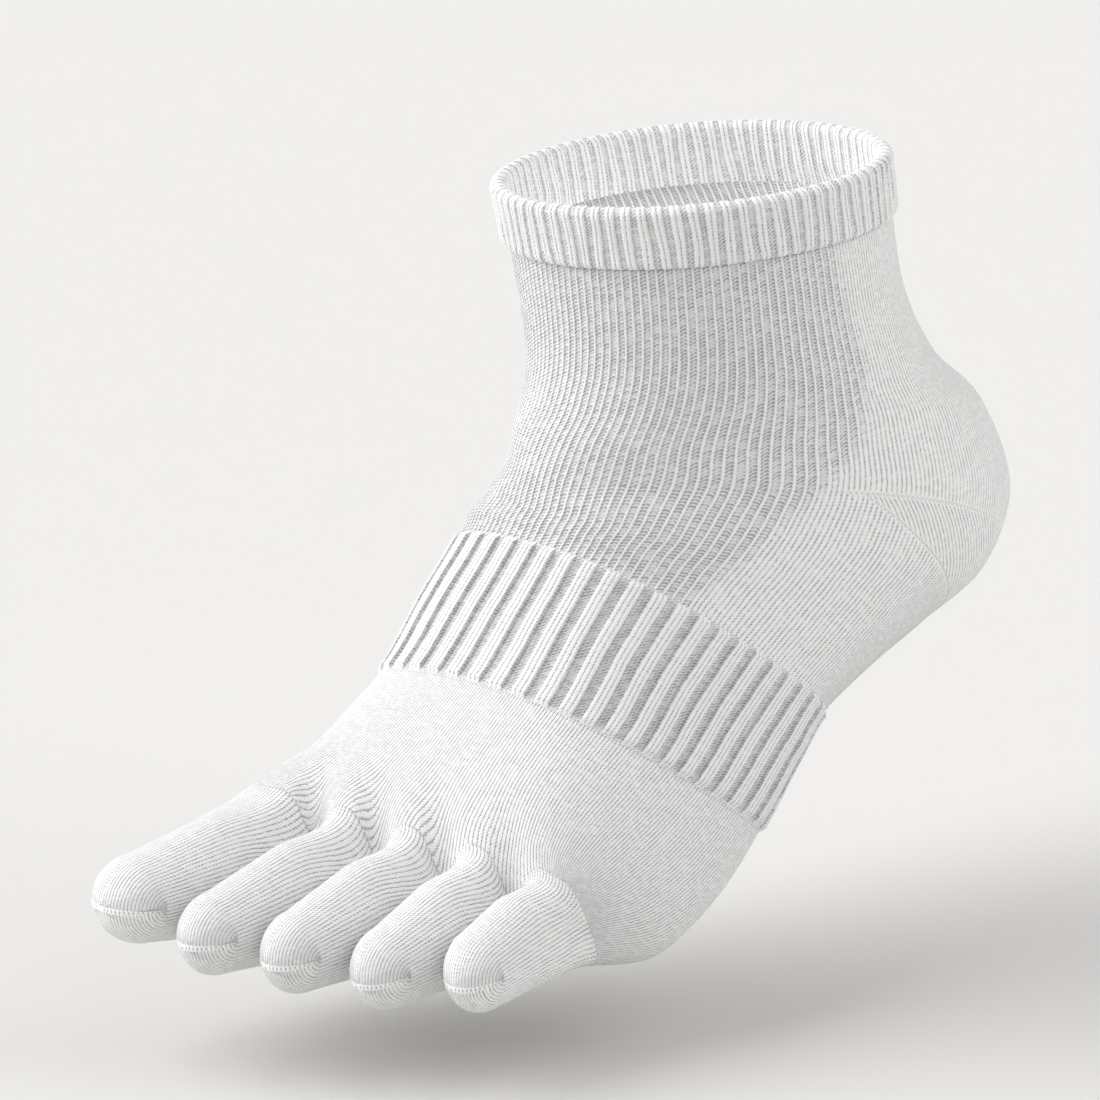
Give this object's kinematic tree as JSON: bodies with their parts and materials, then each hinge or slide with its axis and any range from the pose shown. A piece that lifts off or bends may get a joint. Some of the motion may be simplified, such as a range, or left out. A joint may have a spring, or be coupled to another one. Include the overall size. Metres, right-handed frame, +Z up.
{
  "type": "toe sock",
  "caption": "Low ankle sock with a separate pocket for each toe, ribbed cuff, finely ribbed leg, turned heel and a band of raised ribs round the arch, hollow, in worn shape.",
  "frame": {"origin": "centre of the ankle opening, level with the middle of the rim", "axes": "+Z up out of the ankle opening, -Y towards the toes, +X towards the little toe; it fits a left foot"},
  "size_m": [0.0861, 0.2354, 0.1641],
  "materials": {
    "cuff_knit": "matt white rib knit, two raised columns and a sunken one",
    "leg_knit": "matt white fine rib knit",
    "heel_knit": "matt white plain knit with turned rows",
    "foot_knit": "matt white plain knit",
    "arch_knit": "matt white wide rib knit, raised ribs and flat grooves",
    "toe_knit": "matt white plain knit with a linked seam"
  },
  "bodies": {
    "root": {"cuff": "cuff_knit", "leg": "leg_knit", "heel_gusset": "heel_knit", "instep": "foot_knit", "arch_band": "arch_knit", "forefoot": "foot_knit", "big_toe": "toe_knit", "second_toe": "toe_knit", "third_toe": "toe_knit", "fourth_toe": "toe_knit", "little_toe": "toe_knit"}
  },
  "joints": []
}
